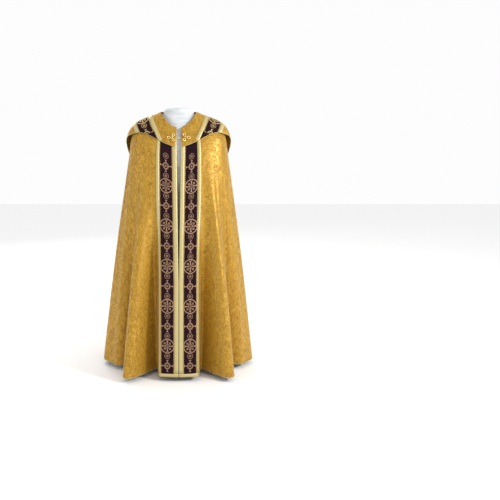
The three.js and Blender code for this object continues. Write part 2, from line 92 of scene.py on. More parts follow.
# soft creases between the folds: at, half width, depth at its middle, drop at start, at middle, at end, drift in degrees
CREASES = [
    (33, 4.0, -5, 0.05, 0.3, 0.8, 3), (40, 3.5, 5, 0.1, 0.45, 1.2, 2), (55, 4.0, 5, 0.08, 0.3, 0.9, -3),
    (62, 3.5, -5, 0.1, 0.5, 1.2, 2), (78, 4.0, -6, 0.04, 0.3, 0.9, 3), (96, 4.0, 5, 0.06, 0.35, 1.1, -2),
    (114, 3.5, -4, 0.1, 0.5, 1.2, 2), (128, 3.0, 5, 0.2, 0.6, 1.2, 1), (143, 3.5, -5, 0.1, 0.4, 0.9, -2),
    (156, 3.0, 4, 0.2, 0.55, 1.2, 2), (170, 4.0, -5, 0.1, 0.4, 0.9, 1), (184, 3.5, 5, 0.2, 0.6, 1.2, -2),
    (199, 3.5, 4, 0.1, 0.5, 1.1, 2), (212, 3.0, -5, 0.2, 0.5, 1.0, -1), (226, 3.5, 5, 0.1, 0.4, 1.1, 2),
    (242, 4.0, -5, 0.06, 0.35, 0.9, 3), (260, 4.0, 6, 0.05, 0.3, 0.8, -3), (281, 4.0, -5, 0.06, 0.4, 1.1, 2),
    (299, 3.5, 5, 0.1, 0.4, 1.0, -2), (318, 4.0, -6, 0.05, 0.3, 0.8, 3), (324, 3.5, 5, 0.15, 0.5, 1.2, 1),
]
HOOD = dict(
    at=[0, 20, 40, 58, 74, 88, 102, 118, 134, 150, 166, 180],
    reach=[113, 110, 121, 150, 196, 232, 285, 362, 432, 476, 512, 556],
    lift=[3.5, 3.5, 3.5, 4, 12, 26, 26, 20, 16, 18, 28, 38],
)
FORM = dict(
    half=[40, 66, 80, 86, 90, 146, 198, 228, 236, 222, 182, 176, 200, 196, 184],
    front=[36, 59, 71, 76, 79, 103, 124, 138, 146, 150, 132, 128, 140, 138, 128],
    back=[32, 50, 60, 64, 66, 100, 126, 140, 143, 136, 116, 118, 142, 138, 128],
    zf=[1484, 1480, 1468, 1430, 1370, 1322, 1271, 1215, 1150, 1080, 960, 880, 740, 600, 560],
    zs=[1485, 1481, 1471, 1459, 1450, 1427, 1400, 1366, 1318, 1200, 1010, 900, 740, 600, 560],
    zb=[1484, 1480, 1470, 1459, 1455, 1427, 1385, 1330, 1262, 1180, 1010, 900, 740, 600, 560],
)
V_FRONT, V_TOP, V_BACK = (-172, -122, 1335), (-196, 8, 1412), (-34, 190, 1148)


def column(row, v):
    p = np.asarray(row, float)
    n = len(p) - 1
    v = np.asarray(v, float)
    i = np.clip(np.floor(v).astype(int), 0, n - 1)
    t = v - i
    p1, p2 = p[i], p[i + 1]
    p0 = np.where(i > 0, p[np.maximum(i - 1, 0)], 2 * p1 - p2)
    p3 = np.where(i < n - 1, p[np.minimum(i + 2, n)], 2 * p2 - p1)
    m1, m2 = (p2 - p0) / 2, (p3 - p1) / 2
    return (2 * t**3 - 3 * t**2 + 1) * p1 + (t**3 - 2 * t**2 + t) * m1 + (3 * t**2 - 2 * t**3) * p2 + (t**3 - t**2) * m2


def by_angle(key, deg):
    a = np.minimum(deg, 360 - deg)
    at = np.asarray(HOOD["at"], float)
    i = np.clip(np.searchsorted(at, a, side="left") - 1, 0, len(at) - 2)
    return column(HOOD[key], i + np.clip((a - at[i]) / (at[i + 1] - at[i]), 0, 1))


def ring(table, v, th):
    v, th = np.broadcast_arrays(np.asarray(v, float), np.asarray(th, float))
    c, s = np.cos(th), np.sin(th)
    q = 2 / column(table["sq"], v) if "sq" in table else np.ones_like(v)
    x = -column(table["half"], v) * np.sign(s) * np.abs(s) ** q
    y = -np.where(c > 0, column(table["front"], v), column(table["back"], v)) * np.sign(c) * np.abs(c) ** q
    ze = np.where(c > 0, column(table["zf"], v), column(table["zb"], v))
    z = ze + (column(table["zs"], v) - ze) * s * s
    return np.stack([x, y, z], -1)


def fold_out(v, th, creases=True):
    drop, deg = column(SECT["drop"], v), np.degrees(th)
    d = np.zeros(np.broadcast(v, th).shape)
    for at, half, out, start in FOLDS:
        t = np.clip((deg - at) / half, -1, 1)
        d = d + out * np.cos(t * np.pi / 2) ** 2 * np.clip((drop - start) / (1 - start), 0, 1) ** 1.25
    if creases:
        for at, half, out, a, b, e, drift in CREASES:
            t = np.clip((deg - at - drift * (drop - b)) / half, -1, 1)
            f = np.clip(np.where(drop < b, (drop - a) / (b - a), (e - drop) / (e - b)), 0, 1)
            d = d + out * np.cos(t * np.pi / 2) ** 2 * f * f * (3 - 2 * f)
    return d


def draped(v, th, creases=True):
    p = ring(SECT, v, th)
    a, b = ring(SECT, v, th - 0.01), ring(SECT, v, th + 0.01)
    n = np.stack([a[..., 1] - b[..., 1], b[..., 0] - a[..., 0], 0 * a[..., 0]], -1)
    n /= np.maximum(np.linalg.norm(n, axis=-1, keepdims=True), 1e-9)
    return p + n * fold_out(v, th, creases)[..., None]


def row_angles(v, edge, middle):
    th = np.linspace(0.0001, 0.4, 1600)
    p = ring(SECT, np.full_like(th, v), th)
    gap = GAP_FOOT + (GAP_TOP - GAP_FOOT) * np.clip((p[:, 2] - GAP_CLOSE_Z) / (1280 - GAP_CLOSE_Z), 0, 1)
    start = th[np.argmax(-p[:, 0] >= gap)]
    sides = []
    for sign in (1, -1):
        off = np.linspace(start, start + np.pi * 0.62, 3000)
        t = off if sign > 0 else 2 * np.pi - off
        q = draped(np.full_like(t, v), t)
        run = np.r_[0, np.cumsum(np.linalg.norm(np.diff(q, axis=0), axis=1))]
        sides.append(np.interp(edge, run, t))
    left, right = sides[0], sides[1][::-1]
    mid = np.linspace(left[-1], right[0], middle + 1)[1:-1]
    return np.r_[left, mid, right]


def grid_normals(P):
    a = np.gradient(P, axis=0)
    b = np.gradient(P, axis=1)
    n = np.cross(a, b)
    return n / np.maximum(np.linalg.norm(n, axis=-1, keepdims=True), 1e-9)


# ------------------------------------------------------------ mesh makers
def mesh_object(name, verts, faces, mats, smooth=True, uv=None, mat_index=None):
    me = bpy.data.meshes.new(name)
    me.from_pydata([tuple(v) for v in np.asarray(verts) / 1000.0], [], [tuple(int(k) for k in f) for f in faces])
    me.update()
    if uv is not None:
        layer = me.uv_layers.new(name="cut")
        loops = np.empty(len(me.loops), dtype=np.int32)
        me.loops.foreach_get("vertex_index", loops)
        layer.data.foreach_set("uv", np.asarray(uv, np.float32)[loops].ravel())
    for m in mats:
        me.materials.append(m)
    if smooth:
        me.polygons.foreach_set("use_smooth", np.ones(len(me.polygons), dtype=bool))
    o = bpy.data.objects.new(name, me)
    bpy.context.collection.objects.link(o)
    return o


def shell(name, inner, outer, mats, uv=None, smooth=True):
    R, C = inner.shape[:2]
    verts = np.concatenate([outer.reshape(-1, 3), inner.reshape(-1, 3)])
    i, j = np.meshgrid(np.arange(R - 1), np.arange(C - 1), indexing="ij")
    k = (i * C + j).ravel()
    out = np.stack([k, k + C, k + C + 1, k + 1], 1)
    inn = np.stack([k, k + 1, k + C + 1, k + C], 1) + R * C
    n = R * C
    rims = []
    for j in range(C - 1):
        rims.append((j, j + 1, n + j + 1, n + j))
        b = (R - 1) * C + j
        rims.append((b, n + b, n + b + 1, b + 1))
    for i in range(R - 1):
        a = i * C
        rims.append((a, n + a, n + a + C, a + C))
        b = i * C + C - 1
        rims.append((b, b + C, n + b + C, n + b))
    faces = np.concatenate([out, inn, np.array(rims)])
    # turn the faces out
    v = verts
    f = faces
    vol = (v[f[:, 0]] * np.cross(v[f[:, 1]] - v[f[:, 0]], v[f[:, 2]] - v[f[:, 0]])).sum() + (v[f[:, 0]] * np.cross(v[f[:, 2]] - v[f[:, 0]], v[f[:, 3]] - v[f[:, 0]])).sum()
    if vol < 0:
        faces = faces[:, ::-1]
    uv2 = None if uv is None else np.concatenate([uv.reshape(-1, 2)] * 2)
    o = mesh_object(name, verts, faces, mats, smooth, uv2)
    return o


def tube_mesh(paths, radius, sides=8, closed=False):
    V, F = [], []
    for path in paths:
        p = np.asarray(path, float)
        n = len(p)
        t = (np.roll(p, -1, 0) - np.roll(p, 1, 0)) if closed else np.gradient(p, axis=0)
        t /= np.maximum(np.linalg.norm(t, axis=1, keepdims=True), 1e-9)
        ref = np.array([0, 0, 1.0]) if abs(t[:, 2]).mean() < 0.8 else np.array([0, 1.0, 0])
        a = np.cross(t, ref)
        a /= np.maximum(np.linalg.norm(a, axis=1, keepdims=True), 1e-9)
        b = np.cross(t, a)
        r = np.asarray(radius, float) * np.ones(n)
        base = sum(len(x) for x in V)
        ang = np.arange(sides) / sides * 2 * np.pi
        ringpts = p[:, None] + r[:, None, None] * (np.cos(ang)[None, :, None] * a[:, None] + np.sin(ang)[None, :, None] * b[:, None])
        V.append(ringpts.reshape(-1, 3))
        last = n if closed else n - 1
        for i in range(last):
            for s in range(sides):
                k, m = (i + 1) % n, (s + 1) % sides
                F.append((base + i * sides + s, base + i * sides + m, base + k * sides + m, base + k * sides + s))
        if not closed:
            F.append(tuple(base + s for s in range(sides))[::-1])
            F.append(tuple(base + (n - 1) * sides + s for s in range(sides)))
    return np.concatenate(V), F


# ------------------------------------------------------------ materials
def new_mat(name):
    m = bpy.data.materials.new(name)
    m.use_nodes = True
    return m, m.node_tree, m.node_tree.nodes["Principled BSDF"]


def N(tree, kind, **kw):
    n = tree.nodes.new(kind)
    for k, v in kw.items():
        if k in ("operation", "blend_type", "feature", "wave_type", "distance", "bands_direction", "data_type", "wave_profile", "rings_direction"):
            setattr(n, k, v)
        else:
            n.inputs[k].default_value = v
    return n


def ramp(tree, fac, stops):
    r = tree.nodes.new("ShaderNodeValToRGB")
    e = r.color_ramp.elements
    while len(e) > 1:
        e.remove(e[0])
    e[0].position, e[0].color = stops[0][0], (*stops[0][1], 1)
    for p, c in stops[1:]:
        x = e.new(p)
        x.color = (*c, 1)
    tree.links.new(fac, r.inputs[0])
    return r.outputs[0]


def damask_material(name, light, mid, dark, uvscale=1.0):
    m, t, b = new_mat(name)
    L = t.links.new
    uv = t.nodes.new("ShaderNodeUVMap"); uv.uv_map = "cut"
    # rosettes: distance to lattice centres, as rings and petals
    vor = N(t, "ShaderNodeTexVoronoi", feature="F1", Scale=15.0, Randomness=0.2)
    warp = N(t, "ShaderNodeTexNoise", Scale=26.0, Detail=2.0)
    L(uv.outputs[0], warp.inputs["Vector"])
    bend = N(t, "ShaderNodeVectorMath", operation="MULTIPLY_ADD")
    bend.inputs[1].default_value = (0.028, 0.028, 0.0)
    L(warp.outputs["Color"], bend.inputs[0]); L(uv.outputs[0], bend.inputs[2])
    L(bend.outputs[0], vor.inputs["Vector"])
    rings = N(t, "ShaderNodeMath", operation="SINE")
    mul = N(t, "ShaderNodeMath", operation="MULTIPLY"); mul.inputs[1].default_value = 34
    L(vor.outputs["Distance"], mul.inputs[0]); L(mul.outputs[0], rings.inputs[0])
    vine = N(t, "ShaderNodeTexNoise", Scale=38.0, Detail=3.0, Roughness=0.6, Distortion=1.6)
    L(uv.outputs[0], vine.inputs["Vector"])
    add = N(t, "ShaderNodeMath", operation="MULTIPLY_ADD"); add.inputs[1].default_value = 0.05; 
    L(rings.outputs[0], add.inputs[0]); L(vine.outputs[0], add.inputs[2])
    spots = N(t, "ShaderNodeTexVoronoi", feature="F1", Scale=70.0, Randomness=0.6)
    L(uv.outputs[0], spots.inputs["Vector"])
    grain = N(t, "ShaderNodeTexNoise", Scale=420.0, Detail=2.0)
    L(uv.outputs[0], grain.inputs["Vector"])
    g2 = N(t, "ShaderNodeMath", operation="MULTIPLY_ADD"); g2.inputs[1].default_value = 0.35
    L(grain.outputs[0], g2.inputs[0]); L(add.outputs[0], g2.inputs[2])
    col = ramp(t, g2.outputs[0], [(0.40, dark), (0.66, mid), (0.98, light)])
    spotmask = ramp(t, spots.outputs["Distance"], [(0.10, (0.45, 0.45, 0.45)), (0.24, (1, 1, 1))])
    mix = N(t, "ShaderNodeMix", data_type="RGBA", blend_type="MULTIPLY"); mix.inputs[0].default_value = 0.45
    L(col, mix.inputs[6]); L(spotmask, mix.inputs[7])
    L(mix.outputs[2], b.inputs["Base Color"])
    rough = ramp(t, add.outputs[0], [(0.35, (0.62,) * 3), (0.65, (0.38,) * 3)])
    L(rough, b.inputs["Roughness"])
    b.inputs["Metallic"].default_value = 0.35
    b.inputs["Sheen Weight"].default_value = 0.25
    b.inputs["Sheen Roughness"].default_value = 0.4
    b.inputs["Sheen Tint"].default_value = (1.0, 0.8, 0.4, 1)
    bump = N(t, "ShaderNodeBump", Strength=0.35, Distance=0.0012)
    L(g2.outputs[0], bump.inputs["Height"])
    L(bump.outputs[0], b.inputs["Normal"])
    return m


def thread_material(name, light, dark, metal, rough, scale=900.0, bump=0.5):
    m, t, b = new_mat(name)
    L = t.links.new
    tc = t.nodes.new("ShaderNodeTexCoord")
    no = N(t, "ShaderNodeTexNoise", Scale=scale, Detail=3.0, Roughness=0.7)
    L(tc.outputs["Object"], no.inputs["Vector"])
    wide = N(t, "ShaderNodeTexNoise", Scale=14.0, Detail=2.0)
    L(tc.outputs["Object"], wide.inputs["Vector"])
    mix = N(t, "ShaderNodeMath", operation="MULTIPLY_ADD"); mix.inputs[1].default_value = 0.4
    L(wide.outputs[0], mix.inputs[0]); L(no.outputs[0], mix.inputs[2])
    L(ramp(t, mix.outputs[0], [(0.45, dark), (0.9, light)]), b.inputs["Base Color"])
    L(ramp(t, no.outputs[0], [(0.3, (min(rough + 0.15, 1),) * 3), (0.7, (rough,) * 3)]), b.inputs["Roughness"])
    b.inputs["Metallic"].default_value = metal
    bp = N(t, "ShaderNodeBump", Strength=bump, Distance=0.0006)
    L(no.outputs[0], bp.inputs["Height"]); L(bp.outputs[0], b.inputs["Normal"])
    return m


def braid_material(name, light, dark, metal, rough):
    m, t, b = new_mat(name)
    L = t.links.new
    uv = t.nodes.new("ShaderNodeUVMap"); uv.uv_map = "cut"
    w = N(t, "ShaderNodeTexWave", wave_type="BANDS", bands_direction="DIAGONAL", Scale=90.0, Distortion=1.5, Detail=1.0)
    L(uv.outputs[0], w.inputs["Vector"])
    no = N(t, "ShaderNodeTexNoise", Scale=700.0, Detail=2.0)
    L(uv.outputs[0], no.inputs["Vector"])
    mx = N(t, "ShaderNodeMath", operation="MULTIPLY_ADD"); mx.inputs[1].default_value = 0.45
    L(w.outputs[1], mx.inputs[0]); L(no.outputs[0], mx.inputs[2])
    L(ramp(t, mx.outputs[0], [(0.4, dark), (0.9, light)]), b.inputs["Base Color"])
    L(ramp(t, no.outputs[0], [(0.3, (rough + 0.15,) * 3), (0.7, (rough,) * 3)]), b.inputs["Roughness"])
    b.inputs["Metallic"].default_value = metal
    bp = N(t, "ShaderNodeBump", Strength=0.6, Distance=0.0008)
    L(mx.outputs[0], bp.inputs["Height"]); L(bp.outputs[0], b.inputs["Normal"])
    return m


def velvet_material():
    m = thread_material("velvet", (0.020, 0.004, 0.008), (0.007, 0.0015, 0.003), 0.0, 0.85, 600, 0.4)
    b = m.node_tree.nodes["Principled BSDF"]
    b.inputs["Sheen Weight"].default_value = 0.05
    b.inputs["Specular IOR Level"].default_value = 0.15
    b.inputs["Sheen Roughness"].default_value = 0.35
    b.inputs["Sheen Tint"].default_value = (0.5, 0.1, 0.2, 1)
    return m


def cover_material():
    m, t, b = new_mat("form_cover")
    L = t.links.new
    tc = t.nodes.new("ShaderNodeTexCoord")
    mp = t.nodes.new("ShaderNodeMapping"); mp.inputs["Scale"].default_value = (2.2, 2.2, 9); mp.inputs["Rotation"].default_value = (0.25, 0.3, 0)
    L(tc.outputs["Object"], mp.inputs[0])
    wrap = N(t, "ShaderNodeTexNoise", Scale=4.0, Detail=2.0, Distortion=0.6)
    L(mp.outputs[0], wrap.inputs["Vector"])
    knit = N(t, "ShaderNodeTexNoise", Scale=900.0)
    L(tc.outputs["Object"], knit.inputs["Vector"])
    # the cover's own pale grey, painted darker in the wrap creases and lighter on their ridges: painted shade that
    # follows the same noise as the bump
    L(ramp(t, wrap.outputs[0], [(0.3, (0.50, 0.52, 0.53)), (0.7, (0.66, 0.68, 0.69))]), b.inputs["Base Color"])
    b.inputs["Roughness"].default_value = 0.85
    mx = N(t, "ShaderNodeMath", operation="MULTIPLY_ADD"); mx.inputs[1].default_value = 0.02
    L(knit.outputs[0], mx.inputs[0]); L(wrap.outputs[0], mx.inputs[2])
    bp = N(t, "ShaderNodeBump", Strength=0.6, Distance=0.012)
    L(mx.outputs[0], bp.inputs["Height"]); L(bp.outputs[0], b.inputs["Normal"])
    return m


DAMASK = damask_material("damask", (0.60, 0.345, 0.036), (0.385, 0.205, 0.013), (0.23, 0.108, 0.005))
VELVET = velvet_material()
BRAID = braid_material("galloon", (0.62, 0.52, 0.24), (0.34, 0.27, 0.10), 0.45, 0.35)
GOLD = thread_material("gold_thread", (0.72, 0.52, 0.22), (0.40, 0.25, 0.08), 0.35, 0.4, 1200)
COPPER = thread_material("pale_copper_thread", (0.44, 0.26, 0.15), (0.22, 0.12, 0.07), 0.25, 0.5, 1200)
BRASS = thread_material("brass", (1.0, 0.80, 0.36), (0.92, 0.66, 0.22), 1.0, 0.16, 60, 0.05)
SILK = thread_material("tassel_silk", (0.80, 0.66, 0.36), (0.50, 0.38, 0.14), 0.25, 0.45, 700)
COVER = cover_material()
STAND = thread_material("stand_paint", (0.32, 0.32, 0.33), (0.26, 0.26, 0.27), 0.6, 0.35, 200, 0.1)


def put(o):
    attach(o, "root")
    return o


# ------------------------------------------------------------ mantle
edge = np.r_[np.linspace(0, G_IN, 4), G_IN + 0.3, G_IN + np.linspace(0, BAND, 8)[1:], G_IN + BAND + 0.3, G_IN + BAND + 0.3 + np.linspace(0, G_OUT, 4)[1:]]
MID = 360
hem = 10.0
vs = np.r_[np.linspace(0, 4, 26)[:-1], np.linspace(4, hem - FOOT / 255, 62), np.linspace(hem - FOOT / 255, hem, 4)[1:]]
TH = np.stack([row_angles(v, edge, MID) for v in vs])
P = draped(vs[:, None] * np.ones_like(TH), TH)
NM = grid_normals(P)
mid = P.shape[1] // 2
if NM[40, mid, 1] < 0:
    NM = -NM
down = np.concatenate([np.zeros((1, P.shape[1])), np.cumsum(np.linalg.norm(np.diff(P, axis=0), axis=2), axis=0)]) / 1000
across = np.concatenate([np.zeros((P.shape[0], 1)), np.cumsum(np.linalg.norm(np.diff(P, axis=1), axis=2), axis=1)], 1) / 1000
angle = across[-1] / across[-1, -1] * np.pi
rad = 0.172 + down
UV = np.stack([rad * np.cos(angle), rad * np.sin(angle)], -1)
mantle = put(shell("mantle_cloth", P, P + NM * CLOTH, [DAMASK], UV))
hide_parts("mantle")

E = len(edge)
LASTC = P.shape[1] - 1
a_in, a_band, a_out = slice(0, 4), slice(4, 12), slice(12, 16)


class Strip:
    """A band of cloth: a grid of points and normals, and a way to lay marks on it in mm along and across."""

    def __init__(self, grid, normal):
        self.g, self.n = grid, normal
        m = grid[:, grid.shape[1] // 2]
        self.s = np.r_[0, np.cumsum(np.linalg.norm(np.diff(m, axis=0), axis=1))]
        w = np.linalg.norm(np.diff(grid[len(grid) // 2], axis=0), axis=1)
        self.u = np.r_[0, np.cumsum(w)]
        self.length, self.width = self.s[-1], self.u[-1]
        self.u = self.u - self.width / 2

    def at(self, u, s, h):
        i = np.clip(np.interp(s, self.s, np.arange(len(self.s))), 0, len(self.s) - 1.0001)
        j = np.clip(np.interp(u, self.u, np.arange(len(self.u))), 0, len(self.u) - 1.0001)
        i0, j0 = i.astype(int), j.astype(int)
        a, b = (i - i0)[:, None], (j - j0)[:, None]
        pick = lambda q: (q[i0, j0] * (1 - a) + q[i0 + 1, j0] * a) * (1 - b) + (q[i0, j0 + 1] * (1 - a) + q[i0 + 1, j0 + 1] * a) * b
        n = pick(self.n)
        return pick(self.g) + n / np.linalg.norm(n, axis=1, keepdims=True) * h[:, None]


def strip_uv(g):
    s = np.concatenate([np.zeros((1, g.shape[1])), np.cumsum(np.linalg.norm(np.diff(g, axis=0), axis=2), axis=0)]) / 1000
    u = np.concatenate([np.zeros((g.shape[0], 1)), np.cumsum(np.linalg.norm(np.diff(g, axis=1), axis=2), axis=1)], 1) / 1000
    return np.stack([u, s], -1)


sheets = []


def lay(name, node, g, n, low, thick, mat, slot, rests, kind="stretched"):
    o = put(shell(name, g + n * low, g + n * (low + thick), [mat], strip_uv(g)))
    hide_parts(node)
    st = Strip(g, n)
    sheets.append((o, st, rests, kind))
    return o, st


# ------------------------------------------------------------ marks drawn from rings, arms and beads
class Marks:
    def __init__(self):
        self.v, self.f = [], []

    def poly(self, outline, inner=None, z=0.0):
        """closed outline as a prism, with a hole if inner has as many points"""
        k = sum(len(x) for x in self.v)
        o = np.asarray(outline, float)
        n = len(o)
        if inner is None:
            c = o.mean(0)
            pts = np.concatenate([np.c_[o, np.full(n, z)], np.c_[o, np.full(n, 0.0)], [[c[0], c[1], z]]])
            self.v.append(pts)
            for i in range(n):
                j = (i + 1) % n
                self.f.append((k + i, k + j, k + 2 * n))
                self.f.append((k + i, k + n + i, k + n + j, k + j))
        else:
            q = np.asarray(inner, float)
            pts = np.concatenate([np.c_[o, np.full(n, z)], np.c_[q, np.full(n, z)], np.c_[o, np.zeros(n)], np.c_[q, np.zeros(n)]])
            self.v.append(pts)
            for i in range(n):
                j = (i + 1) % n
                self.f.append((k + i, k + j, k + n + j, k + n + i))
                self.f.append((k + i, k + 2 * n + i, k + 2 * n + j, k + j))
                self.f.append((k + n + i, k + n + j, k + 3 * n + j, k + 3 * n + i))

    def oval(self, c, rx, ry, hole=0.0, z=0.9, n=36):
        a = np.arange(n) / n * 2 * np.pi
        o = np.stack([c[0] + rx * np.cos(a), c[1] + ry * np.sin(a)], 1)
        if hole > 0:
            self.poly(o, np.stack([c[0] + (rx - hole) * np.cos(a), c[1] + (ry - hole) * np.sin(a)], 1), z)
        else:
            self.poly(o, None, z)

    def turn(self, c, pts, deg, z=0.9, hole=None):
        a = math.radians(deg)
        r = np.array([[math.cos(a), -math.sin(a)], [math.sin(a), math.cos(a)]])
        self.poly(np.asarray(pts, float) @ r.T + c, None if hole is None else np.asarray(hole, float) @ r.T + c, z)

    def arm(self, c, r0, r1, w0, w1, deg, z=0.9):
        m = (r0 * 0.35 + r1 * 0.65)
        self.turn(c, [(-w0 / 2, r0), (w0 / 2, r0), (w0 * 0.45, m), (w1 / 2, r1), (0, r1 - 1.6), (-w1 / 2, r1), (-w0 * 0.45, m)], deg, z)

    def lift(self, strip, s0=0, base=0.0):
        v = np.concatenate(self.v)
        return strip.at(v[:, 0], v[:, 1] + s0, v[:, 2] + base)


def roundel(m, c, R=37.5, tall=1.06):
    m.oval(c, R, R * tall, 4.2)
    for d in (0, 90, 180, 270):
        m.arm(c, 10, R - 6, 5, 15, d)
        e = math.radians(d + 45)
        q = (c[0] + 19.5 * math.cos(e), c[1] + 20.5 * math.sin(e))
        m.oval(q, 3.4, 3.4, 1.6, n=14)
        for k in (0, 90, 180, 270):
            m.turn(q, [(-1.2, 3.2), (1.2, 3.2), (2.6, 7), (-2.6, 7)], d + 45 + k)
    m.oval(c, 10, 10, 2.2, n=28)
    m.turn(c, [(0, 5.5), (4, 0), (0, -5.5), (-4, 0)], 0, 0.9, [(0, 3.2), (2.2, 0), (0, -3.2), (-2.2, 0)])


def small_ring(m, c, R=15):
    m.oval(c, R, R * 1.05, 1.9, n=30)
    m.oval(c, 4.2, 4.2, 1.6, n=16)
    for d in range(0, 360, 45):
        m.turn(c, [(-1.3, 4.4), (1.3, 4.4), (0.5, 8.6), (-0.5, 8.6)], d)


def cross(m, c, R=33):
    for d in (0, 90, 180, 270):
        m.arm(c, 14, R, 4, 15, d)
    m.oval(c, 13.5, 16, 3.0, n=36)
    for k in range(20):
        a = k / 20 * 2 * math.pi
        m.oval((c[0] + 15.6 * math.cos(a), c[1] + 18.2 * math.sin(a)), 1.9, 1.9, n=8)
    m.oval(c, 5.2, 6.2, 1.5, n=18)
    for d in range(0, 360, 45):
        m.turn(c, [(-1.0, 0), (1.0, 0), (0.3, 4.6), (-0.3, 4.6)], d)


def whole(pts, faces):
    """only the faces whose points all lie on the band"""
    ok = ~np.isnan(pts[:, 0])
    fs = [f for f in faces if all(ok[k] for k in f)]
    used = sorted({k for f in fs for k in f})
    new = {k: i for i, k in enumerate(used)}
    return pts[used], [tuple(new[k] for k in f) for f in fs]


def draw(name, strip, items, mat, top):
    """items: (kind, s, u, inside test); marks go on the strip, top mm above its base points"""
    m = Marks()
    for kind, s in items:
        {"R": roundel, "o": small_ring, "x": cross}[kind](m, (0.0, s))
    v = np.concatenate(m.v)
    keep = np.abs(v[:, 0]) <= strip.width / 2
    pts = strip.at(v[:, 0], v[:, 1], v[:, 2] + top)
    return put(mesh_object(name, *whole(pts, m.f), [mat], smooth=False))


def edge_lines(name, strip, top, mat, inset=2.0, s0=0, s1=None):
    """a woven gold line along each edge of a velvet band, with a dotted line beside it"""
    m = Marks()
    s1 = strip.length if s1 is None else s1
    n = int((s1 - s0) / 9)
    for side in (-1, 1):
        for k in range(n):
            a, b = s0 + (s1 - s0) * k / n, s0 + (s1 - s0) * (k + 1) / n
            x0, x1 = side * (strip.width / 2 - 0.3), side * (strip.width / 2 - 2.4)
            m.poly([(x0, a), (x1, a), (x1, b), (x0, b)], None, 0.5)
            q = side * (strip.width / 2 - 4.6)
            for f in (0.25, 0.75):
                c = a + (b - a) * f
                m.poly([(q - 0.9, c - 1.4), (q + 0.9, c - 1.4), (q + 0.9, c + 1.4), (q - 0.9, c + 1.4)], None, 0.5)
    v = np.concatenate(m.v)
    return put(mesh_object(name, *whole(strip.at(v[:, 0], v[:, 1], v[:, 2] + top), m.f), [mat], smooth=False))


LOW = CLOTH + 0.3
r0 = int(np.argmax(vs >= 1.0))
body_rows = slice(r0, len(vs) - 3)
foot_rows = slice(len(vs) - 4, len(vs))
ORDER = "oxoRoxoRoxoRoxoRoxoRox"
for side in ("left", "right"):
    pick = (lambda sl: np.arange(sl.start, sl.stop)) if side == "left" else (lambda sl: np.sort(LASTC - np.arange(sl.start, sl.stop)))
    gi = P[body_rows][:, pick(a_in)], NM[body_rows][:, pick(a_in)]
    gb = P[body_rows][:, pick(a_band)], NM[body_rows][:, pick(a_band)]
    go = P[body_rows][:, pick(a_out)], NM[body_rows][:, pick(a_out)]
    gf = P[foot_rows][:, pick(slice(0, 16))], NM[foot_rows][:, pick(slice(0, 16))]
    lay(f"galloon_{side}_inner_braid", f"galloon_{side}_inner", *gi, LOW, 1.5, BRAID, "galloon", [mantle])
    o, st = lay(f"orphrey_{side}_velvet", f"orphrey_{side}", *gb, LOW, 1.0, VELVET, "velvet", [mantle])
    lay(f"galloon_{side}_outer_braid", f"galloon_{side}_outer", *go, LOW, 1.5, BRAID, "galloon", [mantle])
    lay(f"galloon_{side}_foot_braid", f"galloon_{side}_foot", *gf, LOW, 1.5, BRAID, "galloon", [mantle])
    s_yoke = 62.0
    L = st.length - s_yoke
    pitch = L / 23.0
    items = [(k, s_yoke + (i + 1.2) * pitch) for i, k in enumerate(ORDER)]
    rd = draw(f"orphrey_{side}_ornament", st, items, COPPER, LOW + 1.0)
    ed = edge_lines(f"orphrey_{side}_lines", st, LOW + 1.0, GOLD)
    sheets[-3] = (*sheets[-3], [rd, ed])

# hem piping, round the cloth's foot
V, F = tube_mesh([P[-1] + NM[-1] * 0.8 + np.array([0, 0, -0.4])], 1.9, 8)
hem_pipe = put(mesh_object("hem_piping", V, F, [BRAID], uv=np.zeros((len(V), 2)) + V[:, :2] / 1000))

# ------------------------------------------------------------ hood
def hood_grid(rows, cols):
    share = np.linspace(0, 1, rows + 1)[:, None] * np.ones((1, cols + 1))
    th0 = np.arcsin((GAP_TOP - 1) / (99 + 41 * share))
    th = th0 + (2 * np.pi - 2 * th0) * np.linspace(0, 1, cols + 1)[None]
    vv = np.linspace(0, 8, 801)
    out, nrm = np.zeros(th.shape + (3,)), np.zeros(th.shape + (3,))
    for i in range(rows + 1):
        q = ring(SECT, vv[:, None], th[i][None])
        run = np.concatenate([np.zeros((1, cols + 1)), np.cumsum(np.linalg.norm(np.diff(q, axis=0), axis=2), axis=0)])
        deg = np.degrees(th[i])
        reach = by_angle("reach", deg) * share[i]
        v = np.array([np.interp(reach[j], run[:, j], vv) for j in range(cols + 1)])
        p = ring(SECT, v, th[i])
        n = np.cross(ring(SECT, v, th[i] + 0.01) - ring(SECT, v, th[i] - 0.01), ring(SECT, v + 0.05, th[i]) - ring(SECT, np.maximum(v - 0.05, 0), th[i]))
        n /= np.linalg.norm(n, axis=1, keepdims=True)
        flip = n[:, 0] * p[:, 0] + n[:, 1] * p[:, 1] + n[:, 2] * 60 < 0
        n[flip] *= -1
        t = np.clip((share[i] - 0.25) / 0.75, 0, 1)
        lift = HOOD_LIFT + (by_angle("lift", deg) - HOOD_LIFT + 0.7) * t * t * (3 - 2 * t)
        out[i], nrm[i] = p + n * np.maximum(lift, HOOD_LIFT)[:, None], n
    return out, nrm


H, HN = hood_grid(60, 260)
HN2 = grid_normals(H)
if (HN2 * HN).sum() < 0:
    HN2 = -HN2
hd = np.concatenate([np.zeros((1, H.shape[1])), np.cumsum(np.linalg.norm(np.diff(H, axis=0), axis=2), axis=0)]) / 1000
ha = np.linspace(0, np.pi, H.shape[1])[None] * np.ones((H.shape[0], 1))
HUV = np.stack([(0.172 + hd) * np.cos(ha) + 2, (0.172 + hd) * np.sin(ha)], -1)
hood = put(shell("hood_cloth", H, H + HN2 * HOOD_WALL, [DAMASK], HUV))
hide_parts("hood")
HO = H + HN2 * HOOD_WALL
V, F = tube_mesh([HO[-1] - HN2[-1] * 0.8], 1.5, 6)
hood_pipe = put(mesh_object("hood_piping", V, F, [BRAID], uv=V[:, :2] / 1000))

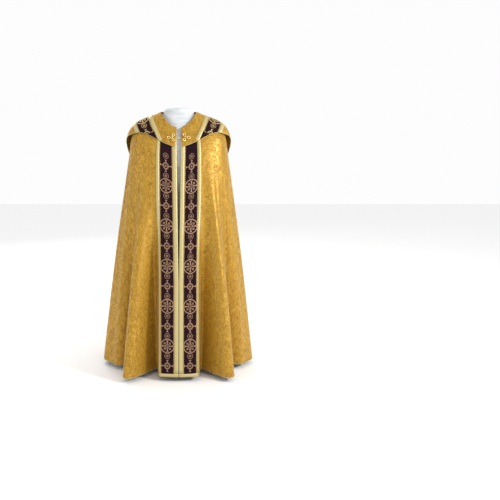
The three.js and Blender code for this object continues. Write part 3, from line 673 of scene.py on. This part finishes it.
R_, C_ = HO.shape[:2]
ii, jj = np.meshgrid(np.arange(R_ - 1), np.arange(C_ - 1), indexing="ij")
kk = (ii * C_ + jj).ravel()
tree = BVHTree.FromPolygons([Vector(p) for p in HO.reshape(-1, 3)], [tuple(q) for q in np.stack([kk, kk + C_, kk + C_ + 1, kk + 1], 1).tolist()])


def hood_band(name, node, heart, across_, e1, e2, offsets, a0, a1, stations, keep, mat, slot, thick):
    def hit(o, a):
        f = heart + across_ * o
        d = e1 * math.cos(a) + e2 * math.sin(a)
        # from outside towards the heart line, so that the outer face is met
        loc, nor, idx, dist = tree.ray_cast(Vector(f + d * 900), Vector(-d), 880)
        if loc is None or not keep(np.array(loc)):
            return None
        return np.array(loc)

    grid = []
    for o in offsets:
        midang = (a0 + a1) / 2

        def end(a):
            if hit(o, a) is not None:
                return a
            bad, good = a, None
            for k in range(1, 61):
                t = a + (midang - a) * k / 60
                if hit(o, t) is not None:
                    good = t
                    break
                bad = t
            for _ in range(24):
                t = (good + bad) / 2
                if hit(o, t) is not None:
                    good = t
                else:
                    bad = t
            return good

        s, e = end(a0), end(a1)
        line = []
        for k in range(stations + 1):
            p = hit(o, s + (e - s) * min(max(k / stations, 0.0015), 0.9985))
            line.append(p if p is not None else line[-1])
        line = np.array(line)
        # even steps along the line
        run = np.r_[0, np.cumsum(np.linalg.norm(np.diff(line, axis=0), axis=1))]
        t = np.linspace(0, run[-1], stations + 1)
        line = np.stack([np.interp(t, run, line[:, c]) for c in range(3)], 1)
        grid.append(line)
    # the middle line, as angle against length, past both ends
    aa = np.linspace(a0, a1, 500)
    hits = [(a, tree.ray_cast(Vector(heart + (e1 * math.cos(a) + e2 * math.sin(a)) * 900), Vector(-(e1 * math.cos(a) + e2 * math.sin(a))), 880)) for a in aa]
    hits = [(a, np.array(q[0])) for a, q in hits if q[0] is not None]
    la = np.array([a for a, _ in hits])
    lp = np.array([p for _, p in hits])
    ls = np.r_[0, np.cumsum(np.linalg.norm(np.diff(lp, axis=0), axis=1))]
    g = np.array(grid).transpose(1, 0, 2)
    n = grid_normals(g)
    c = len(offsets) // 2
    if np.dot(n[stations // 2, c], g[stations // 2, c] - heart) < 0:
        n = -n
    o, st = lay(name, node, g, n, 0.5, thick, mat, slot, [hood])

    def at(u, s, h):
        out = np.full((len(u), 3), np.nan)
        al = np.interp(s, ls, la)
        for i in range(len(u)):
            if s[i] < 1 or s[i] > ls[-1] - 1 or abs(u[i]) > max(offsets) - 0.2:
                continue
            d = e1 * math.cos(al[i]) + e2 * math.sin(al[i])
            loc, nor, idx, dist = tree.ray_cast(Vector(heart + across_ * u[i] + d * 900), Vector(-d), 880)
            if loc is not None and keep(np.array(loc)):
                nn = np.array(nor)
                if nn @ d < 0:
                    nn = -nn
                out[i] = np.array(loc) + nn * h[i]
        return out

    st.at, st.length = at, ls[-1]
    st.width = max(offsets) - min(offsets)
    st.flat_length = max(np.linalg.norm(np.diff(q, axis=0), axis=1).sum() for q in grid)
    return o, st


def band_items(st, start, pitch, order):
    return [(k, start + i * pitch) for i, k in enumerate(order) if 0 < start + i * pitch < st.length]


X = np.array
heart, ex = X([0, 0, 1180.0]), X([1.0, 0, 0])
e1, e2 = X([0, 1.0, 0]), X([0, 0, 1.0])
allp = lambda p: True
h = BAND / 2
g_, G_ = h + 0.3, h + 0.3 + HOOD_G
cb, cs = hood_band("hood_band_centre_velvet", "hood_band_centre", heart, ex, e1, e2, np.linspace(-h, h, 9), 1.32, -1.1, 90, allp, VELVET, "velvet", 0.9)
hood_band("hood_galloon_centre_left_braid", "hood_galloon_centre_left", heart, ex, e1, e2, np.linspace(-G_, -g_, 4), 1.32, -1.1, 90, allp, BRAID, "galloon", 1.4)
hood_band("hood_galloon_centre_right_braid", "hood_galloon_centre_right", heart, ex, e1, e2, np.linspace(g_, G_, 4), 1.32, -1.1, 90, allp, BRAID, "galloon", 1.4)
PITCH = 66.0
centre_orn = draw("hood_band_centre_ornament", cs, band_items(cs, 45, PITCH, "RoxoRoxoR"), GOLD, 1.4)
centre_lines = edge_lines("hood_band_centre_lines", cs, 1.4, GOLD)
sheets[-3] = (*sheets[-3], [centre_orn, centre_lines])
for side, m in (("left", 1), ("right", -1)):
    f, t, b = (X([q[0] * m, q[1], q[2]], dtype=float) if False else np.array([q[0] * m, q[1], q[2]], float) for q in (V_FRONT, V_TOP, V_BACK))
    a1_ = (b - f) / np.linalg.norm(b - f)
    ac = np.cross(a1_, t - f); ac /= np.linalg.norm(ac)
    if ac[0] * m > 0:
        ac = -ac
    a2_ = np.cross(ac, a1_); a2_ /= np.linalg.norm(a2_)
    if a2_[2] < 0:
        a2_ = -a2_
    hrt = f + (b - f) * 0.42 - a2_ * 40
    stop = h + 0.6 + HOOD_G
    keep = lambda p, m=m, stop=stop: p[0] * -m > stop
    sb, ss = hood_band(f"hood_band_{side}_velvet", f"hood_band_{side}", hrt, ac, a1_, a2_, np.linspace(-h, h, 11), math.pi * 1.02, -0.75, 90, keep, VELVET, "velvet", 0.9)
    hood_band(f"hood_galloon_{side}_inner_braid", f"hood_galloon_{side}_inner", hrt, ac, a1_, a2_, np.linspace(-G_, -g_, 4), math.pi * 1.02, -0.75, 90, keep, BRAID, "galloon", 1.4)
    hood_band(f"hood_galloon_{side}_outer_braid", f"hood_galloon_{side}_outer", hrt, ac, a1_, a2_, np.linspace(g_, G_, 4), math.pi * 1.02, -0.75, 90, keep, BRAID, "galloon", 1.4)
    its = [(k, 2 + i * 58.0) for i, k in enumerate("xoRoxoRox")]
    orn = draw(f"hood_band_{side}_ornament", ss, its, GOLD, 1.4)
    lns = edge_lines(f"hood_band_{side}_lines", ss, 1.4, GOLD)
    sheets[-3] = (*sheets[-3], [orn, lns])

# ------------------------------------------------------------ form
fv = np.linspace(0, 14, 113)
ft = (np.arange(120) + 0.5) / 120 * 2 * np.pi
FP = ring(FORM, fv[:, None], ft[None])
n_r, n_c = FP.shape[:2]
verts = np.concatenate([FP.reshape(-1, 3), [FP[0].mean(0)], [FP[-1].mean(0)]])
faces = []
for i in range(n_r - 1):
    for j in range(n_c):
        k = (j + 1) % n_c
        faces.append((i * n_c + j, (i + 1) * n_c + j, (i + 1) * n_c + k, i * n_c + k))
for j in range(n_c):
    k = (j + 1) % n_c
    faces.append((n_r * n_c, j, k))
    faces.append((n_r * n_c + 1, (n_r - 1) * n_c + k, (n_r - 1) * n_c + j))
torso = put(mesh_object("form_torso_cover", verts, faces, [COVER]))
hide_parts("form_torso")
for node in ("form_pole", "form_base"):
    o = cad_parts[node]
    o.data.materials.clear()
    o.data.materials.append(STAND)

# ------------------------------------------------------------ clasp
def trefoil_paths(c, n, right, up):
    out = []
    for d in (90, 210, 330):
        a = np.radians(d)
        t = np.linspace(0, 2 * np.pi, 40, endpoint=False)
        # one loop: an open oval whose foot crosses the knot's centre
        lx = 14.5 + 9.5 * np.cos(t)
        ly = 7.2 * np.sin(t) * (0.75 + 0.25 * np.cos(t))
        x, y = lx * np.cos(a) - ly * np.sin(a), lx * np.sin(a) + ly * np.cos(a)
        out.append(c + x[:, None] * right + y[:, None] * up + (n * (0.6 * np.sin(t))[:, None]))
    return out


for side, m in (("left", -1), ("right", 1)):
    lo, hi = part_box(f"clasp_{side}")
    c = np.array((lo + hi) / 2) * 1000
    loc, nor, idx, dist = tree.ray_cast(Vector((c[0], -600, c[2])), Vector((0, 1, 0)), 1000)
    n = np.array(nor)
    if n[1] > 0:
        n = -n
    up0 = np.array([0, 0, 1.0])
    right = np.cross(n, up0); right /= np.linalg.norm(right)
    up = np.cross(right, n)
    if right[0] < 0:
        right, up = -right, up
    cc = np.array(loc) + n * 4.6
    # point the third loop outwards
    rr, uu = (up, right * m) if True else (right, up)
    V, F = tube_mesh(trefoil_paths(cc, n, rr, uu), 2.3, 10, closed=True)
    o = put(mesh_object(f"clasp_{side}_knot", V, F, [BRASS]))
    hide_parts(f"clasp_{side}")
lo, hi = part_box("clasp_hook")
c = np.array((lo + hi) / 2) * 1000
t = np.linspace(0, 2 * np.pi, 40, endpoint=False)
path = np.stack([c[0] + 12 * np.cos(t), c[1] - 1.0 + 0 * t, c[2] + 2.6 * np.sin(t)], 1)
V, F = tube_mesh([path], 1.0, 8, closed=True)
hook = put(mesh_object("clasp_hook_wire", V, F, [BRASS]))
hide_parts("clasp_hook")

# ------------------------------------------------------------ tassel
lo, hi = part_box("tassel_cord")
tx, ty = (lo[0] + hi[0]) / 2, (lo[1] + hi[1]) / 2
top, low = hi[2], lo[2]
pts = [(tx + 0.0006 * math.sin(k * 0.7), ty, top + (low - top) * k / 17) for k in range(18)]
cu = bpy.data.curves.new("tassel_cord_twist", "CURVE")
cu.dimensions = "3D"
sp = cu.splines.new("POLY")
sp.points.add(len(pts) - 1)
for q, p in zip(sp.points, pts):
    q.co = (*p, 1)
cu.bevel_depth = 0.0016
cu.bevel_resolution = 3
cu.use_fill_caps = True
cu.materials.append(SILK)
cord = bpy.data.objects.new("tassel_cord_twist", cu)
bpy.context.collection.objects.link(cord)
put(cord)
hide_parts("tassel_cord")
lo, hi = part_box("tassel")
cx, cy, zt = (lo[0] + hi[0]) / 2 * 1000, (lo[1] + hi[1]) / 2 * 1000, hi[2] * 1000
paths, radii = [], []
rings_ = []
for z, r in ((0, 2), (-2, 7), (-6, 10.2), (-13, 11), (-19, 8.8), (-23, 8.2)):
    rings_.append((z, r))
V, F = [], []
seg = 48
for z, r in rings_:
    a = np.arange(seg) / seg * 2 * np.pi
    rr = r * (1 + 0.03 * np.cos(a * 24))
    V.append(np.stack([cx + rr * np.cos(a), cy + rr * np.sin(a), np.full(seg, zt + z)], 1))
V = np.concatenate(V)
for i in range(len(rings_) - 1):
    for j in range(seg):
        k = (j + 1) % seg
        F.append((i * seg + j, i * seg + k, (i + 1) * seg + k, (i + 1) * seg + j))
F.append(tuple(range(seg))[::-1])
F.append(tuple((len(rings_) - 1) * seg + k for k in range(seg)))
strands = []
rng = np.random.default_rng(7)
for lay_r, count in ((1.0, 64), (0.72, 44), (0.4, 24)):
    for k in range(count):
        a = k / count * 2 * np.pi + lay_r
        w = rng.uniform(-0.04, 0.04)
        zz = np.linspace(-20, -61 + rng.uniform(0, 2.5), 8)
        u = (zz + 20) / -41
        r = lay_r * (7.8 + 10.2 * u ** 0.8)
        strands.append(np.stack([cx + r * np.cos(a + w * u * 3), cy + r * np.sin(a + w * u * 3), zt + zz], 1))
V2, F2 = tube_mesh(strands, 0.55, 5)
wrapz = [-21.5, -23.5, -25.5]
wr = []
for z in wrapz:
    a = np.linspace(0, 2 * np.pi, 40, endpoint=False)
    wr.append(np.stack([cx + 8.9 * np.cos(a), cy + 8.9 * np.sin(a), np.full(40, zt + z)], 1))
V3, F3 = tube_mesh(wr, 1.1, 8, closed=True)
allV = np.concatenate([V, V2, V3])
allF = list(F) + [tuple(k + len(V) for k in f) for f in F2] + [tuple(k + len(V) + len(V2) for k in f) for f in F3]
tassel = put(mesh_object("tassel_threads", allV, allF, [SILK]))
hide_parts("tassel")

# ------------------------------------------------------------ sheets
for item in sheets:
    o, st, rests, kind = item[:4]
    w, l = st.width / 1000, getattr(st, "flat_length", st.length) / 1000

# ------------------------------------------------------------ floor and light
floor_mat, t_, b_ = new_mat("floor")
b_.inputs["Base Color"].default_value = (0.9, 0.9, 0.9, 1)
b_.inputs["Roughness"].default_value = 0.9
floor = mesh_object("floor", [(-9000, -9000, 0), (9000, -9000, 0), (9000, 9000, 0), (-9000, 9000, 0)], [(0, 1, 2, 3)], [floor_mat], smooth=False)
world = bpy.data.worlds.new("studio")
bpy.context.scene.world = world
world.use_nodes = True
world.node_tree.nodes["Background"].inputs[0].default_value = (1, 1, 1, 1)
world.node_tree.nodes["Background"].inputs[1].default_value = 0.98


def area_light(name, loc, target, size, power):
    d = bpy.data.lights.new(name, "AREA")
    d.shape = "DISK"
    d.size = size
    d.energy = power
    o = bpy.data.objects.new(name, d)
    bpy.context.collection.objects.link(o)
    o.location = loc
    o.rotation_euler = (Vector(target) - Vector(loc)).to_track_quat("-Z", "Y").to_euler()


area_light("key", (3.0, -2.0, 2.4), (0, 0, 0.8), 0.9, 105)
area_light("fill", (-3.2, -1.6, 1.6), (0, 0, 0.7), 1.6, 12)
area_light("back", (-1.6, 3.2, 2.8), (0, 0, 0.9), 1.6, 55)
bpy.context.scene.view_settings.view_transform = "Standard"
